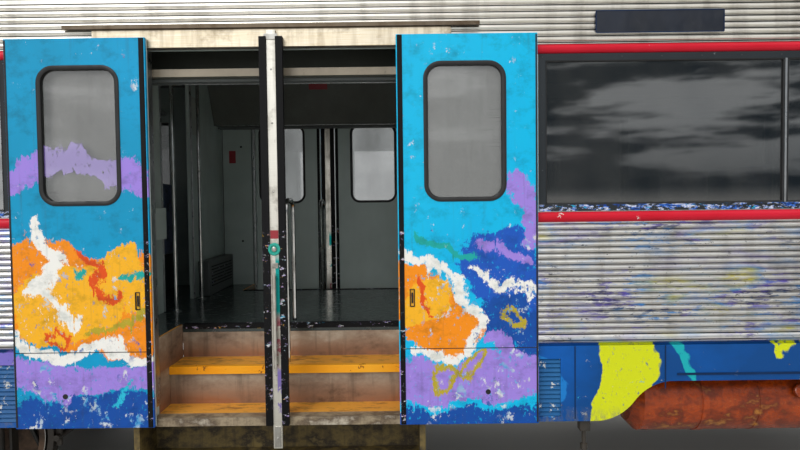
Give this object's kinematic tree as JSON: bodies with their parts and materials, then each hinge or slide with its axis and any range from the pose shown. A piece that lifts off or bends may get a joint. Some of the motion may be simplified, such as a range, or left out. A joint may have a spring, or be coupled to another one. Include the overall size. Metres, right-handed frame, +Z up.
{
  "type": "passenger railcar",
  "caption": "Fluted stainless steel railcar with outside sliding doors, window ribbons, painted skirts and bogies.",
  "frame": {"origin": "under the middle of the car, level with the tips of the wheel flanges", "axes": "+X along the car towards the cab, +Y to the far side, +Z up"},
  "size_m": [26.12, 3.202, 4.23],
  "materials": {
    "stainless": "weathered brushed stainless steel",
    "frame_metal": "dark grey satin",
    "glass": "tinted, dusty",
    "red_paint": "faded red gloss",
    "blue_paint": "chipped dark blue gloss",
    "door_paint": "cyan blue gloss over-painted in colours",
    "cab_paint": "blue gloss, weathered",
    "grey_metal": "grey satin",
    "rubber": "black, weathered",
    "worn_steel": "worn and stained",
    "rusty_steel": "rusty, paint mostly gone",
    "floor_covering": "dark grey-green sheet, worn glossy",
    "roof_metal": "grey, dusty",
    "laminate": "grey-green laminate",
    "upholstery": "blue moquette",
    "aluminium": "satin",
    "chrome": "polished, dulled",
    "dark_plastic": "dark grey",
    "dark_steel": "grimy black-brown",
    "cast_iron": "oily and dusty",
    "wheel_steel": "rust-dusted discs, bright treads"
  },
  "bodies": {
    "car": {"side_panels": "stainless", "letterboards": "stainless", "window_bands": "stainless", "window_frames": "frame_metal", "window_glass": "glass", "red_mouldings": "red_paint", "skirts": "blue_paint", "louvres": "grey_metal", "door_headers": "stainless", "door_posts": "stainless", "post_seals": "rubber", "guide_rails": "worn_steel", "stairs": "rusty_steel", "hanging_steps": "rusty_steel", "floors": "floor_covering", "roof": "roof_metal", "ceiling": "laminate", "partitions": "laminate", "seats": "upholstery", "seat_pedestals": "grey_metal", "luggage_racks": "aluminium", "handrails": "chrome", "cab_front": "cab_paint", "cab_glass": "glass", "headlamps": "chrome", "cab_desk": "dark_plastic", "end_wall": "stainless", "gangway_bellows": "rubber", "roof_gear": "roof_metal", "underframe": "dark_steel", "engine_block": "cast_iron", "fuel_tank": "rusty_steel", "underfloor_gear": "dark_steel", "buffers": "dark_steel", "drawhooks": "dark_steel"},
    "leaf_near_rear_aft": {"leaf_near_rear_aft": "door_paint", "pane_near_rear_aft": "glass"},
    "leaf_near_rear_fore": {"leaf_near_rear_fore": "door_paint", "pane_near_rear_fore": "glass"},
    "leaf_near_front_aft": {"leaf_near_front_aft": "door_paint", "pane_near_front_aft": "glass"},
    "leaf_near_front_fore": {"leaf_near_front_fore": "door_paint", "pane_near_front_fore": "glass"},
    "leaf_far_rear_aft": {"leaf_far_rear_aft": "door_paint", "pane_far_rear_aft": "glass"},
    "leaf_far_rear_fore": {"leaf_far_rear_fore": "door_paint", "pane_far_rear_fore": "glass"},
    "leaf_far_front_aft": {"leaf_far_front_aft": "door_paint", "pane_far_front_aft": "glass"},
    "leaf_far_front_fore": {"leaf_far_front_fore": "door_paint", "pane_far_front_fore": "glass"},
    "gangway_leaf": {"gangway_door": "laminate"},
    "bogie_rear": {"bogie_frame_rear": "dark_steel", "axle_boxes_rear": "cast_iron"},
    "wheelset_rear_aft": {"wheelset_rear_aft": "wheel_steel"},
    "wheelset_rear_fore": {"wheelset_rear_fore": "wheel_steel"},
    "bogie_front": {"bogie_frame_front": "dark_steel", "axle_boxes_front": "cast_iron"},
    "wheelset_front_aft": {"wheelset_front_aft": "wheel_steel"},
    "wheelset_front_fore": {"wheelset_front_fore": "wheel_steel"}
  },
  "joints": [
    {"name": "slide_near_rear_aft", "type": "slide", "parent": "car", "child": "leaf_near_rear_aft", "axis": [1, 0, 0], "range_m": [0, 0.733]},
    {"name": "slide_near_rear_fore", "type": "slide", "parent": "car", "child": "leaf_near_rear_fore", "axis": [-1, 0, 0], "range_m": [0, 0.733]},
    {"name": "slide_near_front_aft", "type": "slide", "parent": "car", "child": "leaf_near_front_aft", "axis": [1, 0, 0], "range_m": [0, 0.733]},
    {"name": "slide_near_front_fore", "type": "slide", "parent": "car", "child": "leaf_near_front_fore", "axis": [-1, 0, 0], "range_m": [0, 0.733]},
    {"name": "slide_far_rear_aft", "type": "slide", "parent": "car", "child": "leaf_far_rear_aft", "axis": [-1, 0, 0], "range_m": [0, 0.733]},
    {"name": "slide_far_rear_fore", "type": "slide", "parent": "car", "child": "leaf_far_rear_fore", "axis": [1, 0, 0], "range_m": [0, 0.733]},
    {"name": "slide_far_front_aft", "type": "slide", "parent": "car", "child": "leaf_far_front_aft", "axis": [-1, 0, 0], "range_m": [0, 0.733]},
    {"name": "slide_far_front_fore", "type": "slide", "parent": "car", "child": "leaf_far_front_fore", "axis": [1, 0, 0], "range_m": [0, 0.733]},
    {"name": "gangway_door_hinge", "type": "hinge", "parent": "car", "child": "gangway_leaf", "pos_m": [-12.67, -0.368, 2.31], "axis": [0, 0, -1], "range_deg": [0, 90]},
    {"name": "bogie_yaw_rear", "type": "hinge", "parent": "car", "child": "bogie_rear", "pos_m": [-9.45, 0, 0.7], "axis": [0, 0, 1], "range_deg": [-5, 5]},
    {"name": "spin_rear_aft", "type": "hinge", "parent": "bogie_rear", "child": "wheelset_rear_aft", "pos_m": [-10.7, 0, 0.46], "axis": [0, 1, 0], "continuous": true},
    {"name": "spin_rear_fore", "type": "hinge", "parent": "bogie_rear", "child": "wheelset_rear_fore", "pos_m": [-8.2, 0, 0.46], "axis": [0, 1, 0], "continuous": true},
    {"name": "bogie_yaw_front", "type": "hinge", "parent": "car", "child": "bogie_front", "pos_m": [9.45, 0, 0.7], "axis": [0, 0, 1], "range_deg": [-5, 5]},
    {"name": "spin_front_aft", "type": "hinge", "parent": "bogie_front", "child": "wheelset_front_aft", "pos_m": [8.2, 0, 0.46], "axis": [0, 1, 0], "continuous": true},
    {"name": "spin_front_fore", "type": "hinge", "parent": "bogie_front", "child": "wheelset_front_fore", "pos_m": [10.7, 0, 0.46], "axis": [0, 1, 0], "continuous": true}
  ]
}
